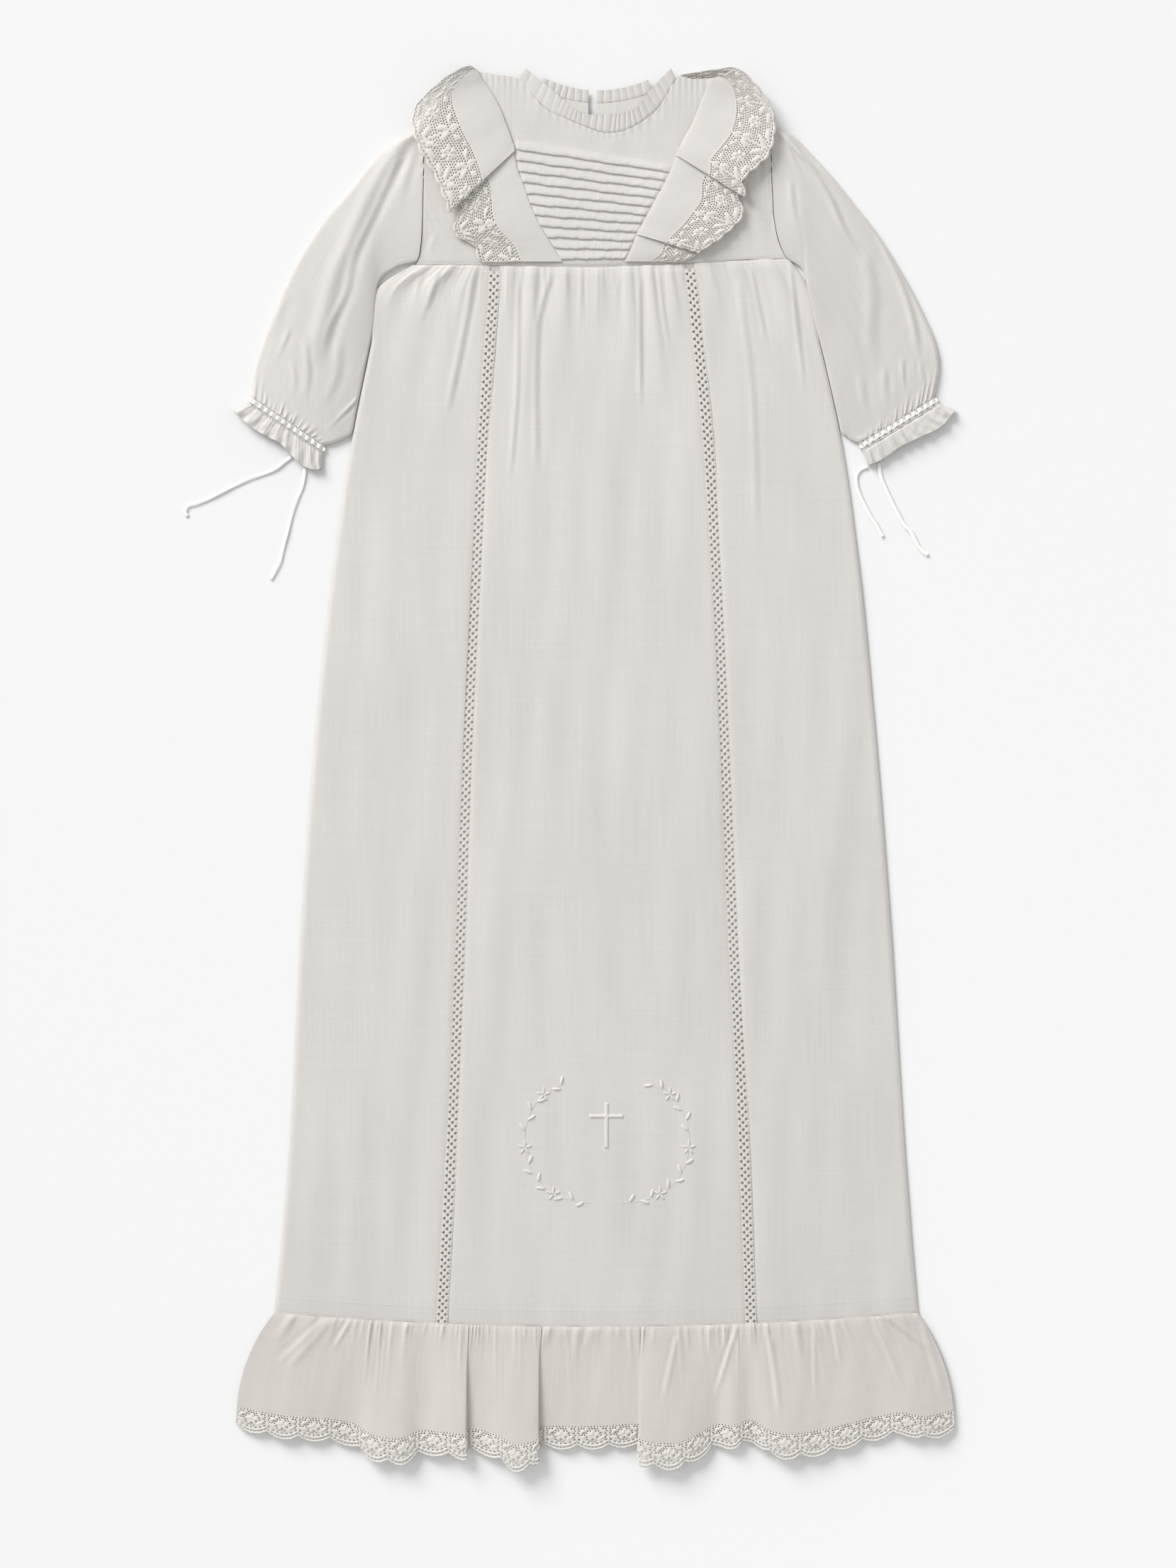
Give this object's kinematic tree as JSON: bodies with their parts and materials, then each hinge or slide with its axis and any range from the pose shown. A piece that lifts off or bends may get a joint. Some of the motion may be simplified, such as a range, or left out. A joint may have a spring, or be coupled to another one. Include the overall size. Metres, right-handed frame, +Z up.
{
  "type": "christening gown",
  "caption": "Long white christening gown laid flat, with tucked yoke, lace shoulder flounces, openwork bands, puff sleeves and a lace-edged hem flounce.",
  "frame": {"origin": "middle of the gown's outline, on the surface that it lies on", "axes": "+Y from the hem to the neck, +Z up from the surface, +X across the gown to the sleeve at the right of the picture"},
  "size_m": [0.544, 0.9898, 0.0131],
  "materials": {
    "cloth": "ivory cotton lawn, matt, fine plain weave",
    "lace": "ivory cotton lace and openwork",
    "ribbon": "white satin ribbon",
    "button": "pearl-white shirt button"
  },
  "bodies": {
    "root": {"skirt_back": "cloth", "skirt_front_left": "cloth", "skirt_front_centre": "cloth", "skirt_front_right": "cloth", "insertion_left": "lace", "insertion_right": "lace", "flounce_front": "cloth", "flounce_back": "cloth", "hem_lace_front": "lace", "hem_lace_back": "lace", "yoke_front_centre": "cloth", "yoke_front_left": "cloth", "yoke_front_right": "cloth", "yoke_back_left": "cloth", "yoke_back_right": "cloth", "back_button": "button", "bertha_left": "cloth", "bertha_right": "cloth", "bertha_lace_left": "lace", "bertha_lace_right": "lace", "bertha_back_left": "cloth", "bertha_back_right": "cloth", "bertha_lace_back_left": "lace", "bertha_lace_back_right": "lace", "neck_frill_front": "cloth", "neck_frill_back_left": "cloth", "neck_frill_back_right": "cloth", "sleeve_left": "cloth", "sleeve_right": "cloth", "sleeve_band_left": "lace", "sleeve_band_right": "lace", "cuff_frill_left": "cloth", "cuff_frill_right": "cloth", "ribbon_left_outer": "ribbon", "ribbon_left_inner": "ribbon", "ribbon_right_inner": "ribbon", "ribbon_right_outer": "ribbon"}
  },
  "joints": []
}
